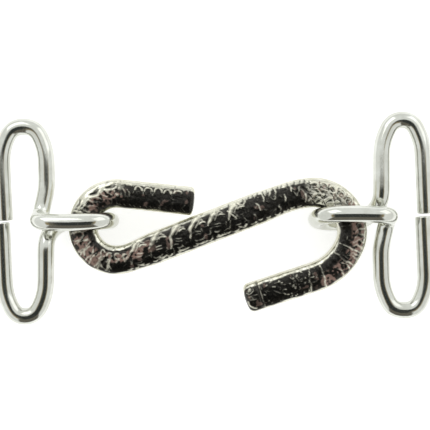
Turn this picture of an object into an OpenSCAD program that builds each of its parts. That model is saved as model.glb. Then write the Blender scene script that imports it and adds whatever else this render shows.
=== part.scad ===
// Strap clasp: an S-shaped hook that joins two wire strap loops.
//
// The straps lie in the XY plane. X runs along the straps, Y across them, and Z is up.
// The origin is at the middle of the clasp, on the surface that it lies on.
// Each loop is one bent wire. Its inner leg is wound into an eye that stands across the
// strap plane and holds the hook's curl, and its two ends meet in the middle of the outer leg.

/* [Loop wire] */
// Diameter of the polished wire
wire_d = 3.2; // [3:0.1:3.4]
// Width of the slot for the strap, along Y
slot_w = 33; // [32:0.5:36]
// Distance between the middles of the inner and outer legs, on the plain half of the loop
leg_gap_plain = 7.8; // [7.7:0.1:8.4]
// The same distance on the half where the eye's near run folds into the leg
leg_gap_folded = 8.5; // [8.1:0.1:9]
// Turn of each rounded shoulder, where a leg begins to close into the loop's end
shoulder_turn = 23; // [18:1:25]
// Radius of each shoulder
shoulder_r = 10; // [8:1:12]
// Radius of the two bends that close each end of the loop
end_r = 2.7; // [2.2:0.1:2.8]
// Gap between the wire's two cut ends
butt_gap = 0.5; // [0.2:0.1:1]
// How far the two cut ends miss each other, along X
butt_step = 0.5; // [0:0.1:0.8]

/* [Eye] */
// Height of each run of the eye above or below the strap plane
run_rise = 4.85; // [4.8:0.05:5.2]
// Reach of the eye from the inner leg to its far end
eye_reach = 12.4; // [12:0.1:12.8]
// Radius of the bends at the eye's far end
eye_end_r = 4.5; // [4.2:0.1:4.6]
// How far the folded end of the near run stands out past the inner leg
fold_overhang = 1.25; // [1:0.05:1.4]
// Radius of the fold from the near run down to the leg
fold_r = 2.15; // [1.9:0.05:2.2]
// Radius of the bends from the plain leg down to the far run
sweep_r = 3.6; // [3:0.2:4]

/* [Hook] */
// Diameter of the captive curl and its arm
captive_d = 5.5; // [5.3:0.1:5.7]
// Diameter of the open curl and its arm
open_d = 5.7; // [5.4:0.1:5.8]
// Diameter of the hook's body between the curls
body_d = 6.2; // [5.8:0.1:6.4]
// Length over which the diameter changes
taper_len = 5; // [3:0.5:8]
// Rounding of the blunt tips
tip_round = 0.8; // [0.4:0.1:1.4]
// Length of the arm that closes the captive curl
captive_arm = 14.1; // [13:0.1:15]
// Radius of the captive curl, to the middle of the hook
captive_curl_r = 6.3; // [6.1:0.1:6.5]
// Turn of the captive curl
captive_curl_turn = 190; // [188:1:192]
// Radius of the easier bend that leads out of it
lead_away_r = 8.3; // [7.5:0.1:9]
// Turn of that bend
lead_away_turn = 17; // [15:1:18]
// Length of the straight body
body_len = 30.5; // [29.5:0.5:31]
// Radius of the long bend that leads into the open curl
lead_in_r = 21; // [18:1:24]
// Turn of that bend
lead_in_turn = 15; // [12:1:18]
// Radius of the open curl, to the middle of the hook
open_curl_r = 7.3; // [7:0.1:7.5]
// Turn of the open curl
open_curl_turn = 120; // [116:1:122]
// Radius of the easier bend that leads out of the open curl
lead_out_r = 10.4; // [9.6:0.2:12]
// Turn of that bend
lead_out_turn = 48; // [45:1:50]
// Length of the arm that leaves the throat open
open_arm = 13.9; // [11:0.1:15]

/* [Hidden] */
$fn = 48;

wire_r = wire_d / 2;
captive_r = captive_d / 2;
open_r = open_d / 2;
body_r = body_d / 2;
// Straight stretches lap into the bends, which are thinner by a step too small to see
lap = 0.05;
lap_step = 0.01;
plane_z = run_rise + wire_r;
axis_half = slot_w / 2 + wire_r;

// Place of each loop: the middle of its inner leg, which the other loop mirrors end for end
loop_x = 31.9;
loop_y = 0.65;
// Place and direction of the captive arm's tip
tip_at = [-3.8, 3.2];
tip_heading = 174;

// Loop legs: where the shoulders and the flat of each end are
leg_gap_mean = (leg_gap_plain + leg_gap_folded) / 2;
end_len = 4.6;
shoulder_y = axis_half - end_len;
end_inset = end_len * tan(shoulder_turn);

// Eye: the runs' places across the strap, which tilt the eye slightly
plain_leg_end = 2.6;
sweep_out = 2.5;
fold_drop = 0.9;
leg_kink = [-0.15, -6.5, 0];

// Each loop is bent by hand, so its two runs lie at their own places across the strap
RIGHT_RUNS_Y = [-1.6, 0.1];
LEFT_RUNS_Y = [-0.25, -0.2];

// Corners of one loop's wire, from cut end to cut end: [point, radius of the bend there]
function loop_path(far_run_y, near_run_y) = [
    [[leg_gap_mean + butt_step / 2, butt_gap / 2, 0], 0],
    [[leg_gap_plain, shoulder_y, 0], shoulder_r],
    [[leg_gap_plain - end_inset, axis_half, 0], end_r],
    [[end_inset, axis_half, 0], end_r],
    [[0, shoulder_y, 0], shoulder_r],
    [[0, plain_leg_end, 0], sweep_r],
    [[-sweep_out, far_run_y + 0.3, -run_rise], sweep_r],
    [[-eye_reach, far_run_y, -run_rise], eye_end_r],
    [[-eye_reach, near_run_y, run_rise], eye_end_r],
    [[-sweep_out, near_run_y, run_rise], shoulder_r],
    [[fold_overhang, 0, run_rise], fold_r],
    [[fold_overhang - 0.2, -fold_drop, 0], fold_r],
    [leg_kink, shoulder_r],
    [[0, -shoulder_y, 0], shoulder_r],
    [[end_inset, -axis_half, 0], end_r],
    [[leg_gap_folded - end_inset, -axis_half, 0], end_r],
    [[leg_gap_folded, -shoulder_y, 0], shoulder_r],
    [[leg_gap_mean - butt_step / 2, -butt_gap / 2, 0], 0]
];

// Hook's middle line from the captive tip: [straight length, radius of the bend, turn, bar radius]
HOOK_RUNS = [
    [captive_arm, captive_curl_r, captive_curl_turn, captive_r],
    [0, lead_away_r, lead_away_turn, captive_r],
    [body_len, lead_in_r, -lead_in_turn, open_r],
    [0, open_curl_r, -open_curl_turn, open_r],
    [0, lead_out_r, -lead_out_turn, open_r],
    [open_arm, 0, 0, open_r]
];

function unit(v) = v / norm(v);
function turn_angle(a, b, c) = acos(unit(b - a) * unit(c - b));
function setback(path, i) =
    path[i][1] == 0 ? 0
        : path[i][1] * tan(turn_angle(path[i - 1][0], path[i][0], path[i + 1][0]) / 2);

// Stands its children at a point, with their X along the given direction and Y towards side
module stand(at, along, side) {
    normal = unit(cross(along, side));
    across = cross(normal, along);
    multmatrix([
        [along.x, across.x, normal.x, at.x],
        [along.y, across.y, normal.y, at.y],
        [along.z, across.z, normal.z, at.z]
    ]) children();
}

// A straight piece of round bar along X, which laps into its neighbours at both ends
module bar(length, r) {
    translate([-lap, 0, 0]) rotate([0, 90, 0]) cylinder(h = length + 2 * lap, r = r);
}

// A bent piece of round bar that sets out along X and turns towards Y
module bend(radius, angle, r) {
    translate([0, radius, 0])
        rotate([0, 0, -90])
            rotate_extrude(angle = angle) translate([radius, 0]) circle(r - lap_step);
}

// Round wire along a path of corners, each rounded by its own bend
module bent_wire(path, r) {
    last = len(path) - 1;
    for (i = [0:last - 1]) {
        start = path[i][0];
        end = path[i + 1][0];
        along = unit(end - start);
        side = abs(along.z) < 0.9 ? [0, 0, 1] : [0, 1, 0];
        from = setback(path, i);
        to = norm(end - start) - setback(path, i + 1);
        stand(start + along * from, along, side) bar(to - from, r);
    }
    for (i = [1:last - 1]) {
        before = path[i - 1][0];
        corner = path[i][0];
        after = path[i + 1][0];
        along = unit(corner - before);
        stand(corner - along * setback(path, i), along, after - corner)
            bend(path[i][1], turn_angle(before, corner, after), r);
    }
}

module strap_loop(runs_y) {
    translate([loop_x, loop_y, plane_z]) bent_wire(loop_path(runs_y[0], runs_y[1]), wire_r);
}

function heading(i) = i == 0 ? tip_heading : heading(i - 1) + HOOK_RUNS[i - 1][2];
function ahead(angle) = [cos(angle), sin(angle)];
function start_of(i) =
    i == 0 ? tip_at
        : start_of(i - 1) + HOOK_RUNS[i - 1][0] * ahead(heading(i - 1))
            + HOOK_RUNS[i - 1][1] * sign(HOOK_RUNS[i - 1][2])
                * (ahead(heading(i - 1) + 90) - ahead(heading(i) + 90));

// Half the section of a bar whose far end is blunt with a rounded rim
module blunt_profile(length, r) {
    translate([0, -lap]) square([r, length - tip_round + lap]);
    translate([0, length - tip_round]) square([r - tip_round, tip_round]);
    translate([r - tip_round, length - tip_round])
        intersection() {
            circle(tip_round);
            square(tip_round);
        }
}

// Half the section of the body, which is thicker than the curls
module body_profile(length) {
    polygon([
        [0, -lap],
        [captive_r, -lap],
        [body_r, taper_len],
        [body_r, length - taper_len],
        [open_r, length + lap],
        [0, length + lap]
    ]);
}

// Turns a half section into a bar along X
module turned() {
    rotate([0, 90, 0]) rotate_extrude() children();
}

// The curl at the end of a run, with the run's own straight piece as its child
module hook_run(i) {
    length = HOOK_RUNS[i][0];
    radius = HOOK_RUNS[i][1];
    turn = HOOK_RUNS[i][2];
    translate(concat(start_of(i), plane_z)) rotate([0, 0, heading(i)]) {
        children();
        translate([length, 0, 0])
            mirror([0, turn < 0 ? 1 : 0, 0])
                if (radius > 0) bend(radius, abs(turn), HOOK_RUNS[i][3]);
    }
}

module s_hook() {
    color([0.36, 0.34, 0.31]) {
        hook_run(0)
            translate([captive_arm, 0, 0]) rotate([0, 0, 180])
                turned() blunt_profile(captive_arm, captive_r);
        hook_run(1) bar(0, captive_r);
        hook_run(2) turned() body_profile(body_len);
        hook_run(3) bar(0, open_r);
        hook_run(4) bar(0, open_r);
        hook_run(5) turned() blunt_profile(open_arm, open_r);
    }
}

module right_loop() {
    color([0.83, 0.84, 0.82]) strap_loop(RIGHT_RUNS_Y);
}

module left_loop() {
    color([0.83, 0.84, 0.82]) rotate([0, 0, 180]) strap_loop(LEFT_RUNS_Y);
}

s_hook();
left_loop();
right_loop();
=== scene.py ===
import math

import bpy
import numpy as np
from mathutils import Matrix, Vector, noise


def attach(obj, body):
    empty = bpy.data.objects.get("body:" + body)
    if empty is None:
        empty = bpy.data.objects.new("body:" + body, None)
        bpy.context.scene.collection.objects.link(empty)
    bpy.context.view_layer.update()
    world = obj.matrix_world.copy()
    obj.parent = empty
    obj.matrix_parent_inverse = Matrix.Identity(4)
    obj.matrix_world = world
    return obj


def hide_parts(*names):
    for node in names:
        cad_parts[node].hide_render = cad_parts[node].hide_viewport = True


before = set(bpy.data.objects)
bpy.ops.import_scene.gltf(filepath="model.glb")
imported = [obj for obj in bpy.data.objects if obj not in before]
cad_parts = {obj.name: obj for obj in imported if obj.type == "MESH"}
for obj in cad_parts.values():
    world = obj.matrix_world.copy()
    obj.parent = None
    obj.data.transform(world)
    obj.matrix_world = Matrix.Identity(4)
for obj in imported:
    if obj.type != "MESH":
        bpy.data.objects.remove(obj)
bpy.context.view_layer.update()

# Looks of a strap clasp: an engraved S-shaped nickel hook, blackened in its cut lines and painted with
# the dark and brown reflections of its surroundings, between two bright wire loops.
# Lengths are in millimetres until a mesh is made. Along the hook, u is the distance from the captive
# tip and w the distance across the top face, positive on the left of the direction of travel.

MM = 0.001
rng = np.random.default_rng(11)

# ---------------------------------------------------------------- the hook's middle line
PLANE_Z = 6.45
TIP_AT = (-3.8, 3.2)
TIP_HEADING = 174
CAPTIVE_R = 2.75
BODY_R = 3.09
OPEN_R = 2.85
TAPER_LEN = 5
# [straight length, radius of the bend after it, turn in degrees]
HOOK_RUNS = (
    (14.1, 6.3, 190),
    (0, 8.3, 17),
    (30.5, 21, -15),
    (0, 7.3, -120),
    (0, 10.4, -48),
    (13.9, 0, 0),
)


def hook_pieces():
    """The middle line's pieces in order: (start u, length, start point, heading, radius, side)."""
    out = []
    u = 0.0
    at = np.array(TIP_AT)
    head = math.radians(TIP_HEADING)
    for straight, radius, turn in HOOK_RUNS:
        if straight:
            out.append((u, straight, at, head, 0, 0))
            at = at + straight * np.array([math.cos(head), math.sin(head)])
            u += straight
        if radius:
            side = 1 if turn > 0 else -1
            length = abs(math.radians(turn)) * radius
            out.append((u, length, at, head, radius, side))
            left = np.array([-math.sin(head), math.cos(head)])
            centre = at + side * radius * left
            head += math.radians(turn)
            left = np.array([-math.sin(head), math.cos(head)])
            at = centre - side * radius * left
            u += length
    return out, u


PIECES, HOOK_LEN = hook_pieces()
BODY_FROM = PIECES[3][0]
BODY_TO = BODY_FROM + PIECES[3][1]


def hook_place(u):
    """Point and heading of the middle line at u."""
    for start, length, at, head, radius, side in PIECES:
        if u <= start + length or start + length > HOOK_LEN - 1e-6:
            break
    t = u - start
    if radius == 0:
        return at + t * np.array([math.cos(head), math.sin(head)]), head
    left = np.array([-math.sin(head), math.cos(head)])
    centre = at + side * radius * left
    head = head + side * t / radius
    left = np.array([-math.sin(head), math.cos(head)])
    return centre - side * radius * left, head


def smooth(x, low, high):
    """0 below low, 1 above high, and an easy curve between."""
    t = np.clip((x - low) / (high - low), 0, 1)
    return t * t * (3 - 2 * t)


def hook_radius(u):
    """Radius of the bar at u: the body is thicker than the curls."""
    rise = smooth(u, BODY_FROM, BODY_FROM + TAPER_LEN)
    fall = smooth(u, BODY_TO - TAPER_LEN, BODY_TO)
    return CAPTIVE_R + (BODY_R - CAPTIVE_R) * rise + (OPEN_R - BODY_R) * fall


# ---------------------------------------------------------------- the hook's relief
# A stroke is (points along it as (u, w), half width at its start and end, height, brightness).
# A height above 0 is a raised line and below 0 a cut one; brightness below 0 blackens.
strokes = []


def stroke(points, width, height, bright, width_end=None):
    strokes.append((np.array(points, float), width, width_end or width, height, bright))


def arc(u, w, radius, start, end, width, height, bright, squash=1.0):
    """A curved stroke about (u, w), between two angles in degrees."""
    steps = 7
    angles = np.radians(np.linspace(start, end, steps))
    points = [(u + radius * math.cos(a), w + squash * radius * math.sin(a)) for a in angles]
    stroke(points, width, height, bright)


def jitter(size):
    return float(rng.uniform(-size, size))


def body_scales():
    """Diagonal leaf strokes along the body, each with hooks beside it and crescents below."""
    pitch = 3.95
    for k in range(6):
        u = 37.9 + pitch * k
        reach = (0.4, 0.2, -1.3, -0.9, 0.3, -0.2)[k]
        stroke([(u + 2.0, 2.75), (u + 0.9, 1.75), (u + 0.1, 0.95), (u - 0.5, reach)],
               0.56, 0.16, 1.0, 0.08)
        stroke([(u + 2.6, 2.3), (u + 1.7, 1.5), (u + 1.1, 0.9)], 0.10, 0.08, 0.7)
        stroke([(u + 1.2, 2.4), (u + 0.3, 1.7), (u - 0.5, 1.0)], 0.14, -0.12, -1.0)
        arc(u + 2.5, 0.95, 0.75, 35, 140, 0.13, 0.10, 0.9, 0.7)
        arc(u + 2.3, 1.55, 0.6, 20, 130, 0.10, 0.08, 0.6, 0.7)
        arc(u + 1.0 + jitter(0.4), -1.2 + jitter(0.2), 0.7 + jitter(0.2), 200, 330, 0.10, 0.08, 0.6, 0.55)
        arc(u + 1.4 + jitter(0.4), -1.8, 0.9 + jitter(0.3), 205, 320, 0.15, 0.11, 0.95, 0.5)
        arc(u + 2.6, -1.5 + jitter(0.3), 0.6, 30, 150, 0.08, 0.06, 0.35, 0.5)
        stroke([(u + 0.9, 0.1), (u + 1.8, -0.15)], 0.09, 0.07, 0.55)
        stroke([(u + 0.7, -0.35), (u + 1.7, -0.55)], 0.09, 0.06, 0.4)
        stroke([(u - 0.2, -0.4), (u - 0.7, -1.3)], 0.11, 0.07, 0.45)


def body_dashes():
    """Short strokes across the top where the body leads into the open curl."""
    marks = (
        (57.6, 1.5, 58.6, -0.4, 1.0), (58.1, 1.6, 58.9, 0.2, 0.5), (59.9, 2.4, 60.1, 1.2, 1.0),
        (61.4, 2.3, 60.6, 1.5, 0.7), (63.2, 0.9, 63.4, -0.5, 0.8), (64.8, 2.3, 64.5, 0.8, 0.9),
        (66.4, 2.2, 65.6, 1.0, 0.9), (67.4, 1.7, 66.6, 0.5, 0.6), (68.6, 0.7, 68.4, -0.6, 0.9),
        (70.1, 2.2, 70.0, 0.9, 1.0), (71.6, 1.4, 70.9, -0.2, 0.5), (72.5, -0.2, 72.2, -1.7, 0.9),
        (66.9, -0.9, 67.0, -1.8, 0.5), (62.0, -0.8, 62.2, -1.7, 0.4), (73.0, 1.0, 73.4, -0.4, 0.6),
    )
    for u, w, u_end, w_end, bright in marks:
        bend = ((u + u_end) / 2 + 0.12, (w + w_end) / 2)
        stroke([(u, w), bend, (u_end, w_end)], 0.13, 0.11, bright, 0.09)
    for k in range(16):
        u = 58.2 + 0.98 * k + jitter(0.2)
        depth = 0.5 + jitter(0.25)
        stroke([(u, 2.75), (u - 0.25, 2.3 - depth)], 0.13, -0.10, -1.0)
        if k % 2:
            stroke([(u + 0.35, 2.6), (u + 0.2, 2.1 - depth / 2)], 0.12, 0.09, 0.9)


def lower_rim():
    """Worn crescents that break the lower edge of the body."""
    for k in range(22):
        u = 36.5 + 1.65 * k + jitter(0.35)
        length = 0.55 + jitter(0.2)
        w = -2.55 + jitter(0.12)
        arc(u, w + 0.5, length, 215, 325, 0.13, 0.10, 1.0, 0.6)
        stroke([(u + length, w + 0.15), (u + length + 0.3, w - 0.35)], 0.11, -0.09, -1.0)


def captive_arm():
    """An even row of scallops along the arm, and the leaf work that follows it."""
    for k in range(5):
        u = 3.1 + 1.85 * k
        arc(u, -0.95, 0.72, 185, 355, 0.15, 0.12, 0.95)
        stroke([(u + 0.92, -0.75), (u + 0.95, -0.35)], 0.10, 0.07, 0.4)
    for k in range(14):
        u = 0.9 + 0.95 * k + jitter(0.2)
        stroke([(u, -2.05), (u + 0.2, -1.7)], 0.10, 0.07, 0.55)
        stroke([(u + 0.3, 2.2), (u + 0.6 + jitter(0.2), 1.9)], 0.08, 0.05, 0.35)
    for k in range(3):
        u = 12.0 + 0.85 * k
        stroke([(u, 0.5 + jitter(0.3)), (u + 0.15, -0.3), (u + 0.5 + jitter(0.2), -1.0)],
               0.15, 0.11, 0.45, 0.10)
        arc(u + 0.4, -1.6, 0.5, 200, 320 + jitter(20), 0.13, 0.10, 0.8)
    leaves = ((15.6, -1.3, 0.8), (18.3, -1.4, 0.9), (21.2, -1.9, 0.6))
    for u, w, size in leaves:
        arc(u, w - 0.35, size, 40, 150, 0.20, -0.16, -1.0, 0.7)
        stroke([(u - size, w - 0.5), (u, w + 0.1)], 0.12, -0.12, -1.0)
        arc(u + 0.1, w + 0.15, size * 1.2, 35, 150, 0.17, 0.12, 1.0, 0.6)
    for k in range(6):
        u = 14.2 + 1.15 * k
        stroke([(u, 0.5), (u + 0.7, -0.1), (u + 0.9, -0.8)], 0.12, 0.09, 0.5)
        stroke([(u + 0.5, 0.9), (u + 1.2, 0.2)], 0.11, -0.10, -0.8)


def curl_bars():
    """Bars and forks that fan out round the captive curl."""
    for k in range(16):
        u = 21.6 + 0.82 * k + jitter(0.12)
        lean = 0.35 * (-1) ** k + jitter(0.2)
        top = 0.4 + jitter(0.4)
        stroke([(u, top), (u + lean, -0.9), (u + lean * 0.4, -2.2)], 0.14, 0.12, 0.75, 0.10)
        if k % 3 == 0:
            stroke([(u + lean, -0.9), (u + lean + 0.5, -1.6)], 0.12, 0.10, 0.7)
        stroke([(u + 0.4, 0.0), (u + 0.4 + lean, -2.0)], 0.12, -0.11, -1.0)
    for k in range(4):
        u = 31.9 + 1.45 * k + jitter(0.2)
        arc(u, 0.6 + jitter(0.2), 0.55 + jitter(0.1), 70 + jitter(50), 230 + jitter(60), 0.15, 0.12, 0.7)
        stroke([(u + 0.3, 0.3), (u - 0.2, -0.5)], 0.13, 0.11, 0.55)
        stroke([(u - 0.3, 1.6), (u + 0.8, 1.45)], 0.12, -0.09, -1.0)


def open_curl():
    """Scrolls on the open curl, then bands across it, then speckle along the arm."""
    for k in range(5):
        u = 74.2 + 1.55 * k
        arc(u, 1.35 + jitter(0.15), 0.66, -40 + jitter(40), 170 + jitter(50), 0.15, 0.13, 1.0)
        arc(u + 0.1, 1.1, 0.3, 0, 300, 0.10, -0.10, -1.0)
        stroke([(u - 0.8, 2.1), (u - 0.6, 0.9)], 0.12, -0.11, -1.0)
        stroke([(u + 0.3, -0.2), (u - 0.6, -1.1), (u - 1.4, -1.6)], 0.13, 0.10, 0.8)
    for k in range(9):
        u = 72.6 + 0.85 * k
        w = 0.4 - 1.2 * (k % 3) + jitter(0.3)
        stroke([(u - 0.5, w + 0.45), (u + 0.1, w), (u + 0.6, w - 0.55)], 0.17, -0.14, -1.0, 0.09)
    for k in range(14):
        u = 80.4 + 0.98 * k + jitter(0.2)
        lean = jitter(0.4)
        stroke([(u, 2.5), (u + lean, 1.2)], 0.13, 0.11, 0.85, 0.09)
        stroke([(u + 0.45, 2.4), (u + 0.45 + lean, 1.0)], 0.12, -0.12, -1.0)
        stroke([(u + lean, 1.0), (u + lean + 0.5, 0.4)], 0.10, 0.07, 0.4)
    for u, bow, bright in ((88.9, 0.0, 1.0), (91.3, -0.1, 0.6), (96.2, 0.35, 1.0), (98.8, 0.4, 1.0)):
        stroke([(u + bow, 2.6), (u, 1.0), (u - bow * 0.3, -0.4), (u - bow, -1.9)],
               0.12, 0.12, bright, 0.08)
        stroke([(u + bow + 0.25, 2.4), (u + 0.25, 0.6)], 0.10, -0.08, -0.8)
    for _ in range(50):
        u = rng.uniform(97, 108)
        w = rng.uniform(-1.7, 2.4)
        stroke([(u, w), (u + jitter(0.3), w + jitter(0.3))], 0.10, 0.07, rng.uniform(0.3, 0.9))


def open_tip():
    """The tip is set off by a ring groove, with a small round boss and a curved cut."""
    ring = 108.6
    stroke([(ring, 2.9), (ring + 0.05, 0), (ring - 0.1, -2.9)], 0.17, -0.20, -1.0)
    stroke([(ring - 0.35, 2.6), (ring - 0.3, 0), (ring - 0.45, -2.4)], 0.10, 0.07, 0.6)
    stroke([(110.2, -1.55), (110.25, -1.5)], 0.24, 0.20, 1.0)
    arc(110.2, -1.5, 0.48, 0, 360, 0.10, -0.14, -1.0)
    arc(110.2, -1.5, 0.68, 20, 200, 0.09, 0.08, 0.5)
    arc(109.9, 1.05, 1.15, -20, 85, 0.15, 0.13, 1.0)
    arc(109.7, 0.95, 0.75, -20, 95, 0.14, -0.14, -1.0)
    stroke([(109.2, -0.2), (110.6, -0.3)], 0.10, 0.07, 0.4)


def fine_work():
    """Light chasing between the main strokes, from end to end."""
    for _ in range(300):
        u = rng.uniform(0.6, HOOK_LEN - 0.6)
        w = rng.uniform(-2.4, 2.4)
        angle = rng.normal(math.pi / 2, 0.7)
        length = rng.uniform(0.25, 0.6)
        du, dw = length * math.cos(angle), length * math.sin(angle)
        raised = rng.random() < 0.6
        height = rng.uniform(0.03, 0.07) * (1 if raised else -1)
        bright = rng.uniform(0.1, 0.4) if raised else -0.6
        stroke([(u - du, w - dw), (u + du, w + dw)], rng.uniform(0.07, 0.11), height, bright)


for part in (body_scales, body_dashes, lower_rim, captive_arm, curl_bars, open_curl, open_tip,
             fine_work):
    part()


# How far the noise may carry a stroke along the hook, as the margin of the search for its rows
SWAY = 0.45
STROKE_REACH = 3


def stroke_field(u, w):
    """Height in mm, brightness and blackening of all strokes at the grid's points."""
    ridge = np.zeros_like(w)
    cut = np.zeros_like(w)
    bright = np.zeros_like(w)
    black = np.zeros_like(w)
    row_u = np.sort(u[:, 0])
    for points, width, width_end, height, tone in strokes:
        margin = STROKE_REACH * max(width, width_end)
        first = np.searchsorted(row_u, points[:, 0].min() - margin - SWAY)
        last = np.searchsorted(row_u, points[:, 0].max() + margin + SWAY)
        if last <= first:
            continue
        grid_u = u[first:last]
        grid_w = w[first:last]
        best = np.zeros_like(grid_w)
        count = len(points) - 1
        for i in range(count):
            a = points[i]
            b = points[i + 1]
            along = b - a
            t = (grid_u - a[0]) * along[0] + (grid_w - a[1]) * along[1]
            t = np.clip(t / (along @ along + 1e-9), 0, 1)
            gap = np.hypot(grid_u - a[0] - t * along[0], grid_w - a[1] - t * along[1])
            half = width + (width_end - width) * (i + t) / count
            best = np.maximum(best, np.exp(-(gap / half) ** 2))
        if height > 0:
            ridge[first:last] = np.maximum(ridge[first:last], height * best)
        else:
            cut[first:last] = np.minimum(cut[first:last], height * best)
        if tone > 0:
            bright[first:last] = np.maximum(bright[first:last], tone * best)
        else:
            black[first:last] = np.maximum(black[first:last], -tone * best)
    return ridge + cut, bright, black


def ripple(u, w, scale, layer):
    """Smooth noise from -1 to 1 at the grid's points."""
    flat = [noise.noise(Vector((a * scale, b * scale, layer))) for a, b in zip(u.ravel(), w.ravel())]
    return np.array(flat).reshape(u.shape)


# ---------------------------------------------------------------- the hook's mesh
TOP_COLUMNS = 106
UNDER_COLUMNS = 36
RING_STEP = 0.17
TOP_SPREAD = math.radians(104)
CAP_RINGS = 9
CAP_DOME = 0.12
TOP_POWER, TOP_RISE = 3.2, 0.80
UNDER_POWER, UNDER_RISE = 2.3, 0.95
CAPTIVE_TIP_ROUND = 0.8
OPEN_TIP_ROUND = 1.2
# Marks the points of the underside, which carry no strokes
OFF_FACE = 99.0
# Sections higher than this share of the radius belong to the top face
TOP_FACE_FROM = -0.15
# Share of the radius at which the dark face ends, and how the two sides differ in it. The dark face is a
# painted reflection of the dark overhead, so it leans by world direction.
FACE_LIMIT, FACE_LEAN_Y, FACE_LEAN_X, FACE_WAVE = 0.785, 0.105, 0.05, 0.08
BODY_RIM = 0.06
FACE_EDGE = 0.05
RELIEF_FADE_FROM, RELIEF_FADE_TO = 0.84, 0.99
# Sizes of the uneven casting: how far strokes wander, and the height of lumps and broad waves
WANDER = 0.20
LUMP_HEIGHT, BROAD_HEIGHT = 0.035, 0.03
# Zones of painted brown reflection: (u where it begins, is full, begins to end, has ended, middle w, half
# width where it is full, half width where it has ended)
BROWN_REFLECTION_ZONES = (
    (12, 14, 20.5, 22, 0.1, 0.6, 1.3),
    (24, 26, 31, 32.5, -0.7, 1.2, 1.9),
    (31, 33, 40, 44, 0.4, 0.6, 1.2),
    (73, 76, 96, 99, 1.1, 0.9, 1.6),
)


def section():
    """One turn of the bar's section, of unit radius: across, up, their outward normals, and w."""
    top = np.linspace(TOP_SPREAD, -TOP_SPREAD, TOP_COLUMNS)
    under = np.linspace(-TOP_SPREAD, TOP_SPREAD - 2 * math.pi, UNDER_COLUMNS + 2)[1:-1]
    angle = np.concatenate([top, under])
    sin, cos = np.sin(angle), np.cos(angle)
    power = np.where(cos > 0, TOP_POWER, UNDER_POWER)
    rise = np.where(cos > 0, TOP_RISE, UNDER_RISE)
    reach = (np.abs(sin) ** power + np.abs(cos / rise) ** power) ** (-1 / power)
    across, up = reach * sin, reach * cos
    d_across = np.roll(across, -1) - np.roll(across, 1)
    d_up = np.roll(up, -1) - np.roll(up, 1)
    length = np.hypot(d_across, d_up)
    normal_across, normal_up = -d_up / length, d_across / length
    flip = np.sign(normal_across * across + normal_up * up)
    steps = np.hypot(np.diff(across[:TOP_COLUMNS]), np.diff(up[:TOP_COLUMNS]))
    w = np.concatenate([[0], np.cumsum(-steps)])
    w -= w[-1] / 2
    w = np.concatenate([w, np.full(UNDER_COLUMNS, OFF_FACE)])
    return across, up, normal_across * flip, normal_up * flip, w


def tip_inset(u):
    """How far the bar's edge draws in near its two blunt tips."""
    inset = np.zeros_like(u)
    for gap, size in ((u, CAPTIVE_TIP_ROUND), (HOOK_LEN - u, OPEN_TIP_ROUND)):
        near = np.clip(size - gap, 0, size)
        inset = np.maximum(inset, size - np.sqrt(size * size - near * near))
    return inset


def build_mesh(name, rings, closed_tips):
    """A closed tube from rings of points, in mm, with a middle point at both ends."""
    count, around, _ = rings.shape
    middle_first = rings[0].mean(0) + closed_tips[0]
    middle_last = rings[-1].mean(0) + closed_tips[1]
    points = np.concatenate([rings.reshape(-1, 3), [middle_first, middle_last]]) * MM
    ring = np.arange(count - 1)[:, None] * around
    column = np.arange(around)[None, :]
    after = (column + 1) % around
    quads = np.stack([ring + column, ring + after, ring + around + after, ring + around + column], -1)
    faces = quads.reshape(-1, 4).tolist()
    last = (count - 1) * around
    for i in range(around):
        j = (i + 1) % around
        faces.append([count * around, j, i])
        faces.append([count * around + 1, last + i, last + j])
    mesh = bpy.data.meshes.new(name)
    mesh.from_pydata(points.tolist(), [], faces)
    mesh.validate()
    mesh.update()
    mesh.polygons.foreach_set("use_smooth", [True] * len(mesh.polygons))
    piece = bpy.data.objects.new(name, mesh)
    bpy.context.scene.collection.objects.link(piece)
    return piece


def store(piece, name, values):
    """A number for each point of the piece's mesh, for its material to read."""
    layer = piece.data.attributes.new(name, "FLOAT", "POINT")
    padded = np.concatenate([values.ravel(), [values[0].mean(), values[-1].mean()]])
    layer.data.foreach_set("value", padded.astype(np.float32))


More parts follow.
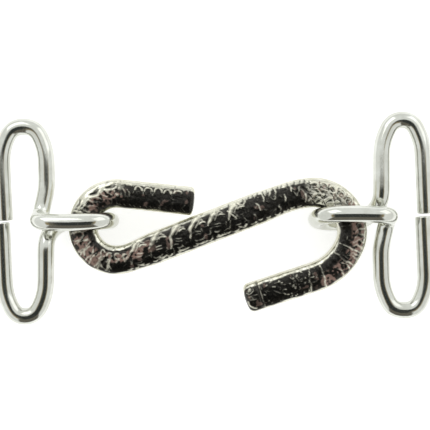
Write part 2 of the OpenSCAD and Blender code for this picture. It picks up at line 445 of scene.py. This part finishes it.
def make_hook():
    across, up, normal_across, normal_up, w_unit = section()
    count = int(HOOK_LEN / RING_STEP) + 1
    row_u = np.linspace(0, HOOK_LEN, count)
    radius = hook_radius(row_u)
    inset = tip_inset(row_u)
    places = [hook_place(u) for u in row_u]
    centre = np.array([p for p, _ in places])
    head = np.array([h for _, h in places])
    left = np.stack([-np.sin(head), np.cos(head)], -1)

    u = np.repeat(row_u[:, None], len(across), 1)
    w = radius[:, None] * w_unit[None, :]
    lateral = np.repeat(across[None, :], count, 0)
    facing_up = np.repeat((up > TOP_FACE_FROM)[None, :], count, 0)

    flat_w = np.where(facing_up, w, 9.0)
    broad = ripple(u, flat_w, 0.75, 1.5)
    lumps = ripple(u, flat_w, 1.9, 7.5)
    sway_u = WANDER * ripple(u, flat_w, 1.3, 3.5)
    sway_w = WANDER * ripple(u, flat_w, 1.3, 5.5)
    height, bright, black = stroke_field(u + sway_u, w + sway_w)
    bright = bright * np.clip(0.95 + 1.0 * lumps, 0.25, 1.15)

    # The dark, chased face is a painted reflection of the dark overhead, so it runs further over the
    # lower side than over the upper one
    side_y = np.sign(lateral) * left[:, 1][:, None]
    side_x = np.sign(lateral) * left[:, 0][:, None]
    limit = FACE_LIMIT - FACE_LEAN_Y * side_y - FACE_LEAN_X * side_x + FACE_WAVE * broad
    limit = limit + BODY_RIM * smooth(u, 37, 42) * (1 - smooth(u, 66, 72)) * (side_y > 0)
    face = (1 - smooth(np.abs(lateral), limit - FACE_EDGE, limit + FACE_EDGE)) * facing_up
    relief_face = (1 - smooth(np.abs(lateral), RELIEF_FADE_FROM, RELIEF_FADE_TO)) * facing_up
    near_tip = smooth(u, 0.0, 0.5) * (1 - smooth(u, HOOK_LEN - 0.4, HOOK_LEN))

    # The painted dark reflection leaves off on the outer side of the captive curl and before the open
    # one, where the nickel shows bright
    no_dark_reflection_a = smooth(u, 12.6, 15.5) * (1 - smooth(u, 21.5, 23.5)) * (w < -0.7 + 0.3 * lumps)
    no_dark_reflection_b = smooth(u, 72.2, 74.5) * (1 - smooth(u, 79.5, 81.5)) * (np.abs(w - 0.2) < 2.4)
    no_dark_reflection = np.clip(no_dark_reflection_a + 0.8 * no_dark_reflection_b, 0, 1) * facing_up
    # Painted dark reflection over the face, plus the patina in its cut lines
    patina_and_dark_reflection = np.clip(face * (1 - no_dark_reflection) + 0.95 * black * relief_face, 0, 1)

    # Painted reflection of brown surroundings, in zones and random patches
    brown_reflection = np.zeros_like(w)
    for begins, full, fades, ended, middle, inner, outer in BROWN_REFLECTION_ZONES:
        lengthwise = smooth(u, begins, full) * (1 - smooth(u, fades, ended))
        brown_reflection += lengthwise * (1 - smooth(np.abs(w - middle), inner, outer))
    brown_reflection += 0.5 * (broad > 0.46) * (np.abs(w) < 1.9)
    brown_reflection = np.clip(brown_reflection, 0, 1) * smooth(lumps + 0.5 * broad, -0.12, 0.10) * facing_up

    proud = (height + LUMP_HEIGHT * lumps + BROAD_HEIGHT * broad) * relief_face * near_tip
    scale = (radius - inset)[:, None]
    x = scale * across + proud * normal_across
    z = scale * up + proud * normal_up + PLANE_Z
    body = np.stack([centre[:, 0:1] + left[:, 0:1] * x, centre[:, 1:2] + left[:, 1:2] * x, z], -1)

    def cap(ring, middle, ahead):
        """Rings that shrink over the flat of a blunt tip, slightly domed."""
        out = []
        for k in range(1, CAP_RINGS):
            share = 1 - k / CAP_RINGS
            push = CAP_DOME * (1 - share * share) * np.array([ahead[0], ahead[1], 0])
            out.append(middle + (ring - middle) * share + push)
        return np.array(out)

    def tip(i, sign):
        middle = np.array([centre[i, 0], centre[i, 1], PLANE_Z])
        ahead = sign * np.array([math.cos(head[i]), math.sin(head[i])])
        return cap(body[i], middle, ahead), CAP_DOME * np.array([ahead[0], ahead[1], 0])

    start_cap, start_push = tip(0, -1)
    end_cap, end_push = tip(-1, 1)
    rings = np.concatenate([start_cap[::-1], body, end_cap])
    settle = 1 / CAP_RINGS
    piece = build_mesh("engraved_hook", rings, (start_push * settle, end_push * settle))

    def with_caps(values):
        first = np.repeat(values[:1], CAP_RINGS - 1, 0)
        last = np.repeat(values[-1:], CAP_RINGS - 1, 0)
        return np.concatenate([first, values, last])

    # Raised lines rubbed bright, partly a painted highlight
    store(piece, "bright", with_caps(bright * relief_face))
    # Painted dark reflection, and the patina in the cut lines
    store(piece, "black", with_caps(patina_and_dark_reflection))
    # Painted brown reflection, for the material to read
    store(piece, "brown_reflection", with_caps(brown_reflection))
    return piece


# ---------------------------------------------------------------- the loops' wire
WIRE_R = 1.6
LOOP_X, LOOP_Y = 31.9, 0.65
RUN_RISE = 4.85
ARCH_X, ARCH_R = 4.6, 38
AXIS_HALF = 18.1
SHOULDER_Y = 13.5
END_INSET = 4.6 * math.tan(math.radians(23))
GAP_PLAIN, GAP_FOLDED = 7.8, 8.5
GAP_MEAN = (GAP_PLAIN + GAP_FOLDED) / 2
CUT_STEP = 0.25
EYE_REACH = 12.4
SWEEP_OUT = 2.5
SWEEP_LEAN = 0.3
PLAIN_LEG_END = 2.6
FOLD_OVERHANG, FOLD_BACK, FOLD_DROP = 1.25, 0.2, 0.9
KINK_X, KINK_Y = -0.15, -6.5
SHOULDER_R, END_R, SWEEP_R, EYE_END_R, FOLD_R = 10, 2.7, 3.6, 4.5, 2.15
AROUND = 40
# Steps of the path in mm: on straights, in bends in degrees, and after it is eased
STRAIGHT_STEP = 0.6
BEND_STEP = 3
FEWEST_BEND_STEPS = 6
PATH_STEP = 0.25
# Rings that round off a cut end: (distance from the end, radius of the ring)
END_CHAMFER = 0.2
END_RINGS = (
    (0, WIRE_R * 0.5),
    (0, WIRE_R - END_CHAMFER),
    (END_CHAMFER * 0.35, WIRE_R - 0.08),
    (END_CHAMFER, WIRE_R),
)


def loop_corners(far_y, near_y, near_rise, arch_rise, bow, cut_y, plain_z, folded_z):
    """Corners of one loop's wire from cut end to cut end: (point, radius of the bend there).

    The loops are bent by hand, so the near run bows a little to one side, and the plain and
    folded halves lie slightly out of the strap plane at their cut ends, shoulders and kink.
    """
    plain_cut, plain_end = plain_z
    kink, folded_end, folded_cut = folded_z
    return (
        ((GAP_MEAN + CUT_STEP, cut_y, plain_cut), 0),
        ((GAP_PLAIN, SHOULDER_Y, plain_end), SHOULDER_R),
        ((GAP_PLAIN - END_INSET, AXIS_HALF, plain_end), END_R),
        ((END_INSET, AXIS_HALF, plain_end), END_R),
        ((0, SHOULDER_Y, plain_end), SHOULDER_R),
        ((0, PLAIN_LEG_END, 0), SWEEP_R),
        ((-SWEEP_OUT, far_y + SWEEP_LEAN, -RUN_RISE), SWEEP_R),
        ((-EYE_REACH, far_y, -RUN_RISE), EYE_END_R),
        ((-EYE_REACH, near_y, near_rise), EYE_END_R),
        ((-ARCH_X, near_y * ARCH_X / EYE_REACH + bow, arch_rise), ARCH_R),
        ((FOLD_OVERHANG, 0, near_rise), FOLD_R),
        ((FOLD_OVERHANG - FOLD_BACK, -FOLD_DROP, 0), FOLD_R),
        ((KINK_X, KINK_Y, kink), SHOULDER_R),
        ((0, -SHOULDER_Y, folded_end), SHOULDER_R),
        ((END_INSET, -AXIS_HALF, folded_end), END_R),
        ((GAP_FOLDED - END_INSET, -AXIS_HALF, folded_end), END_R),
        ((GAP_FOLDED, -SHOULDER_Y, folded_end), SHOULDER_R),
        ((GAP_MEAN - CUT_STEP, -cut_y, folded_cut), 0),
    )


def rounded_path(corners):
    """Points along the wire's middle, with each corner rounded by an arc."""
    points = [np.array(p, float) for p, _ in corners]
    out = [points[0]]

    def straight_to(goal):
        gap = goal - out[-1]
        steps = max(1, int(np.linalg.norm(gap) / STRAIGHT_STEP))
        start = out[-1]
        for k in range(1, steps + 1):
            out.append(start + gap * k / steps)

    for i in range(1, len(points) - 1):
        before, corner, after = points[i - 1:i + 2]
        radius = corners[i][1]
        back = (before - corner) / np.linalg.norm(before - corner)
        on = (after - corner) / np.linalg.norm(after - corner)
        inside = math.acos(np.clip(back @ on, -1, 1))
        setback = radius / math.tan(inside / 2)
        middle = (back + on) / np.linalg.norm(back + on)
        centre = corner + middle * radius / math.sin(inside / 2)
        start = corner + back * setback
        straight_to(start)
        e = (start - centre) / radius
        f = -back
        turn = math.pi - inside
        steps = max(FEWEST_BEND_STEPS, int(math.degrees(turn) / BEND_STEP))
        for k in range(1, steps + 1):
            a = turn * k / steps
            out.append(centre + radius * (math.cos(a) * e + math.sin(a) * f))
    straight_to(points[-1])
    return np.array(out)


def eased(path, ease):
    """The path at even steps, with the curvature eased from bend to straight as in a bent wire."""
    gone = np.concatenate([[0], np.cumsum(np.linalg.norm(np.diff(path, axis=0), axis=1))])
    count = int(gone[-1] / PATH_STEP)
    even = np.linspace(0, gone[-1], count)
    path = np.stack([np.interp(even, gone, path[:, k]) for k in range(3)], -1)
    reach = int(3 * ease / PATH_STEP)
    weights = np.exp(-0.5 * (np.arange(-reach, reach + 1) * PATH_STEP / ease) ** 2)
    weights /= weights.sum()
    before = 2 * path[0] - path[reach:0:-1]
    after = 2 * path[-1] - path[-2:-reach - 2:-1]
    padded = np.concatenate([before, path, after])
    return np.stack([np.convolve(padded[:, k], weights, "valid") for k in range(3)], -1)


def make_loop(name, corners, ease, turned):
    """One loop's wire swept along its corners. The left loop is turned end for end."""
    path = eased(rounded_path(corners), ease)
    path = path + np.array([LOOP_X, LOOP_Y, PLANE_Z])
    if turned:
        path = path * np.array([-1, -1, 1])
    along = np.gradient(path, axis=0)
    along /= np.linalg.norm(along, axis=1)[:, None]
    side = np.cross(along[0], [0, 0, 1])
    side /= np.linalg.norm(side)
    angle = np.linspace(0, 2 * math.pi, AROUND, endpoint=False)
    rings = []
    last = len(path) - 1

    def ring(at, i, radius, side):
        up = np.cross(along[i], side)
        spokes = np.cos(angle)[:, None] * side + np.sin(angle)[:, None] * up
        return at + radius * spokes

    for i, at in enumerate(path):
        side = side - along[i] * (side @ along[i])
        side /= np.linalg.norm(side)
        if i == 0:
            for back, radius in END_RINGS:
                rings.append(ring(at + along[i] * back, i, radius, side))
        elif i == last:
            for back, radius in END_RINGS[::-1]:
                rings.append(ring(at - along[i] * back, i, radius, side))
        else:
            rings.append(ring(at, i, WIRE_R, side))
    return build_mesh(name, np.array(rings), (0, 0))


# ---------------------------------------------------------------- materials
def new_material(name):
    material = bpy.data.materials.new(name)
    material.use_nodes = True
    nodes = material.node_tree.nodes
    return material, nodes, material.node_tree.links, nodes["Principled BSDF"]


def texture(nodes, kind, links, coordinate, scale, **sockets):
    node = nodes.new(kind)
    node.inputs["Scale"].default_value = scale
    for key, value in sockets.items():
        node.inputs[key.replace("_", " ")].default_value = value
    links.new(coordinate, node.inputs["Vector"])
    return node


def ramp(nodes, links, source, stops):
    """A colour ramp: stops are (place, colour)."""
    node = nodes.new("ShaderNodeValToRGB")
    elements = node.color_ramp.elements
    while len(elements) < len(stops):
        elements.new(0.5)
    for element, (place, colour) in zip(elements, stops):
        element.position = place
        element.color = (*colour, 1)
    links.new(source, node.inputs["Fac"])
    return node.outputs["Color"]


def blend_colours(nodes, links, factor, a, b):
    node = nodes.new("ShaderNodeMix")
    node.data_type = "RGBA"
    links.new(factor, node.inputs[0])
    for value, socket in ((a, node.inputs[6]), (b, node.inputs[7])):
        if isinstance(value, tuple):
            socket.default_value = (*value, 1)
        else:
            links.new(value, socket)
    return node.outputs[2]


def maths(nodes, links, operation, a, b):
    node = nodes.new("ShaderNodeMath")
    node.operation = operation
    for value, socket in ((a, node.inputs[0]), (b, node.inputs[1])):
        if isinstance(value, (int, float)):
            socket.default_value = value
        else:
            links.new(value, socket)
    return node.outputs[0]


def attribute(nodes, name):
    node = nodes.new("ShaderNodeAttribute")
    node.attribute_name = name
    return node.outputs["Fac"]


def gated(nodes, links, value, gate):
    """value, held between 0 and 1, and nothing where gate is nothing."""
    low = maths(nodes, links, "MULTIPLY", gate, GATE_STEEPNESS)
    low = maths(nodes, links, "MINIMUM", low, 1.0)
    value = maths(nodes, links, "MAXIMUM", value, 0.0)
    value = maths(nodes, links, "MINIMUM", value, 1.0)
    return maths(nodes, links, "MULTIPLY", value, low)


GATE_STEEPNESS = 6.0
NICKEL = (0.70, 0.71, 0.665)
NICKEL_DULL = (0.60, 0.605, 0.55)
CAST_NICKEL = (0.72, 0.71, 0.62)
CAST_NICKEL_DULL = (0.58, 0.57, 0.465)
# Dark of the hook: patina in the cut lines, and a painted reflection of the dark overhead on the face
BLACK_PATINA_AND_REFLECTION = (0.030, 0.029, 0.027)
GREY_PATINA_AND_REFLECTION = (0.070, 0.066, 0.058)
# Painted reflection of brown surroundings
BROWN_REFLECTION_COLOUR = (0.235, 0.150, 0.120)
# Raised lines: rubbed nickel, lightened to a painted highlight
CREAM = (0.74, 0.72, 0.60)


def wire_material():
    """Bright polished nickel with a faint fine grain, handling marks and a little dulling."""
    material, nodes, links, shader = new_material("bright_nickel")
    place = nodes.new("ShaderNodeTexCoord").outputs["Object"]
    cloud = texture(nodes, "ShaderNodeTexNoise", links, place, 260, Detail=4.0, Roughness=0.6)
    fine = texture(nodes, "ShaderNodeTexNoise", links, place, 5200, Detail=3.0, Roughness=0.7)
    colour = ramp(nodes, links, cloud.outputs["Fac"], ((0.35, NICKEL_DULL), (0.62, NICKEL)))
    links.new(colour, shader.inputs["Base Color"])
    shader.inputs["Metallic"].default_value = 1.0
    rough = nodes.new("ShaderNodeMapRange")
    links.new(cloud.outputs["Fac"], rough.inputs["Value"])
    rough.inputs["From Min"].default_value = 0.3
    rough.inputs["From Max"].default_value = 0.7
    rough.inputs["To Min"].default_value = 0.16
    rough.inputs["To Max"].default_value = 0.11
    links.new(rough.outputs["Result"], shader.inputs["Roughness"])
    bump = nodes.new("ShaderNodeBump")
    bump.inputs["Strength"].default_value = 0.10
    bump.inputs["Distance"].default_value = 0.00002
    links.new(fine.outputs["Fac"], bump.inputs["Height"])
    links.new(bump.outputs["Normal"], shader.inputs["Normal"])
    return material


def hook_material():
    """Nickel: a ground of painted dark reflection with patina in the cuts, patches of painted brown
    reflection, and raised lines rubbed bright with a painted highlight.
    """
    material, nodes, links, shader = new_material("antique_nickel")
    place = nodes.new("ShaderNodeTexCoord").outputs["Object"]
    cloud = texture(nodes, "ShaderNodeTexNoise", links, place, 700, Detail=5.0, Roughness=0.65)
    grain = texture(nodes, "ShaderNodeTexNoise", links, place, 3600, Detail=3.0, Roughness=0.7)
    bright = attribute(nodes, "bright")
    black = attribute(nodes, "black")
    brown_reflection = attribute(nodes, "brown_reflection")
    polished = ramp(nodes, links, cloud.outputs["Fac"], ((0.35, CAST_NICKEL_DULL), (0.6, CAST_NICKEL)))
    # Ground colour: painted dark reflection, with patina in the cut lines
    ground = ramp(nodes, links, grain.outputs["Fac"], ((0.40, BLACK_PATINA_AND_REFLECTION), (0.72, GREY_PATINA_AND_REFLECTION)))
    ground = blend_colours(nodes, links, maths(nodes, links, "MULTIPLY", brown_reflection, 0.9), ground, BROWN_REFLECTION_COLOUR)
    base = blend_colours(nodes, links, black, polished, ground)
    # Raised lines rubbed bright, with a painted highlight: cream, and partly diffuse so they read bright
    # in any light
    rubbed_with_highlight = maths(nodes, links, "POWER", bright, 1.3)
    edge = maths(nodes, links, "SUBTRACT", cloud.outputs["Fac"], 0.42)
    edge = maths(nodes, links, "MULTIPLY", edge, 1.2)
    rubbed_with_highlight = gated(nodes, links, maths(nodes, links, "ADD", rubbed_with_highlight, edge), rubbed_with_highlight)
    base = blend_colours(nodes, links, rubbed_with_highlight, base, CREAM)
    links.new(base, shader.inputs["Base Color"])
    # Where the painted brown reflection lies on the dark face, the metal turns matte
    brown_reflection_matte = maths(nodes, links, "MULTIPLY", maths(nodes, links, "MULTIPLY", brown_reflection, black), 0.85)
    # The painted highlight makes the raised lines partly diffuse
    highlight_satin = maths(nodes, links, "MULTIPLY", rubbed_with_highlight, 0.55)
    metal = maths(nodes, links, "SUBTRACT", 1.0, maths(nodes, links, "MAXIMUM", brown_reflection_matte, highlight_satin))
    links.new(metal, shader.inputs["Metallic"])
    rough = nodes.new("ShaderNodeMapRange")
    links.new(black, rough.inputs["Value"])
    rough.inputs["To Min"].default_value = 0.14
    rough.inputs["To Max"].default_value = 0.30
    links.new(rough.outputs["Result"], shader.inputs["Roughness"])
    bump = nodes.new("ShaderNodeBump")
    bump.inputs["Strength"].default_value = 0.35
    bump.inputs["Distance"].default_value = 0.00004
    links.new(grain.outputs["Fac"], bump.inputs["Height"])
    links.new(bump.outputs["Normal"], shader.inputs["Normal"])
    return material


# ---------------------------------------------------------------- pieces
hook = make_hook()
hook.data.materials.append(hook_material())
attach(hook, "hook")
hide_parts("s_hook")

bright_nickel = wire_material()
right_corners = loop_corners(far_y=-1.6, near_y=0.1, near_rise=4.72, arch_rise=4.85, bow=0.10,
                             cut_y=0.25, plain_z=(-0.30, -0.10), folded_z=(0, 0, 0))
left_corners = loop_corners(far_y=-0.25, near_y=-0.2, near_rise=4.40, arch_rise=4.93, bow=0.30,
                            cut_y=0.17, plain_z=(0, 0), folded_z=(-0.30, -0.15, -0.35))
loops = (("right", right_corners, 0.6, False), ("left", left_corners, 0.85, True))
for loop_name, corners, ease, turned in loops:
    wire = make_loop(loop_name + "_wire_loop", corners, ease, turned)
    wire.data.materials.append(bright_nickel)
    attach(wire, loop_name)
    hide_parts(loop_name + "_loop")


# ---------------------------------------------------------------- studio
def glow_material(name, colour, strength):
    material = bpy.data.materials.new(name)
    material.use_nodes = True
    nodes = material.node_tree.nodes
    nodes.clear()
    glow = nodes.new("ShaderNodeEmission")
    glow.inputs["Color"].default_value = (*colour, 1)
    glow.inputs["Strength"].default_value = strength
    out = nodes.new("ShaderNodeOutputMaterial")
    material.node_tree.links.new(glow.outputs[0], out.inputs["Surface"])
    return material


def panel(name, centre, half_u, half_v, material):
    """A flat card about centre, spanned by two half vectors, seen only in reflections."""
    centre, half_u, half_v = Vector(centre), Vector(half_u), Vector(half_v)
    corners = [centre - half_u - half_v, centre + half_u - half_v,
               centre + half_u + half_v, centre - half_u + half_v]
    mesh = bpy.data.meshes.new(name)
    mesh.from_pydata([c * MM for c in corners], [], [(0, 1, 2, 3)])
    card = bpy.data.objects.new(name, mesh)
    card.data.materials.append(material)
    bpy.context.scene.collection.objects.link(card)
    card.visible_camera = False
    card.visible_diffuse = False
    card.visible_shadow = False
    card.visible_transmission = False
    return card


floor_mesh = bpy.data.meshes.new("floor")
FLOOR_HALF = 3.0
floor_mesh.from_pydata([(-FLOOR_HALF, -FLOOR_HALF, 0), (FLOOR_HALF, -FLOOR_HALF, 0),
                        (FLOOR_HALF, FLOOR_HALF, 0), (-FLOOR_HALF, FLOOR_HALF, 0)], [], [(0, 1, 2, 3)])
floor = bpy.data.objects.new("floor", floor_mesh)
bpy.context.scene.collection.objects.link(floor)
floor_paint, _, _, floor_shader = new_material("pale_floor")
floor_shader.inputs["Base Color"].default_value = (0.72, 0.72, 0.715, 1)
floor_shader.inputs["Roughness"].default_value = 0.9
floor_shader.inputs["Specular IOR Level"].default_value = 0.1
floor_shader.inputs["Emission Color"].default_value = (1, 1, 1, 1)
floor_shader.inputs["Emission Strength"].default_value = 0.55
floor.data.materials.append(floor_paint)

core = glow_material("dark_core", (0.045, 0.05, 0.048), 1.0)
shade = glow_material("dark_shade", (0.16, 0.15, 0.125), 1.0)
brown = glow_material("brown_shade", (0.34, 0.27, 0.15), 1.0)
panel("overhead_core", (0, -135, 299), (112, 0, 0), (0, 150, 0), core)
panel("overhead_shade", (0, -139, 300), (150, 0, 0), (0, 163, 0), shade)
panel("front_shade", (0, -300, 170), (170, 0, 0), (0, 60, 140), shade)
panel("left_brown", (-172, -110, 298), (24, 0, 2), (0, 120, 0), brown)
panel("right_brown", (172, -90, 298), (24, 0, -2), (0, 120, 0), brown)

world = bpy.data.worlds.new("studio")
bpy.context.scene.world = world
world.use_nodes = True
world.node_tree.nodes["Background"].inputs["Color"].default_value = (0.985, 1.0, 0.985, 1)
world.node_tree.nodes["Background"].inputs["Strength"].default_value = 0.96


def soft_light(name, at, power, size):
    lamp = bpy.data.lights.new(name, "AREA")
    lamp.energy = power
    lamp.size = size
    rig = bpy.data.objects.new(name, lamp)
    rig.location = Vector(at) * MM
    rig.rotation_euler = (Vector((0, 0, 0)) - rig.location).to_track_quat("-Z", "Y").to_euler()
    bpy.context.scene.collection.objects.link(rig)


soft_light("key_light", (-260, 420, 420), 0.5, 0.40)
soft_light("fill_light", (380, 300, 300), 0.3, 0.40)

# ---------------------------------------------------------------- camera
VIEW_CENTRE = (0.24, 0.62, PLANE_Z)
VIEW_WIDTH = 81.7
CAMERA_HEIGHT = 210
SENSOR_WIDTH = 36
camera_data = bpy.data.cameras.new("camera")
camera = bpy.data.objects.new("camera", camera_data)
bpy.context.scene.collection.objects.link(camera)
camera.location = (Vector(VIEW_CENTRE) + Vector((0, 0, CAMERA_HEIGHT))) * MM
camera_data.sensor_width = SENSOR_WIDTH
camera_data.lens = SENSOR_WIDTH * CAMERA_HEIGHT / VIEW_WIDTH
camera_data.clip_start = 0.01
camera_data.clip_end = 20
bpy.context.scene.camera = camera
bpy.context.scene.view_settings.view_transform = "Standard"
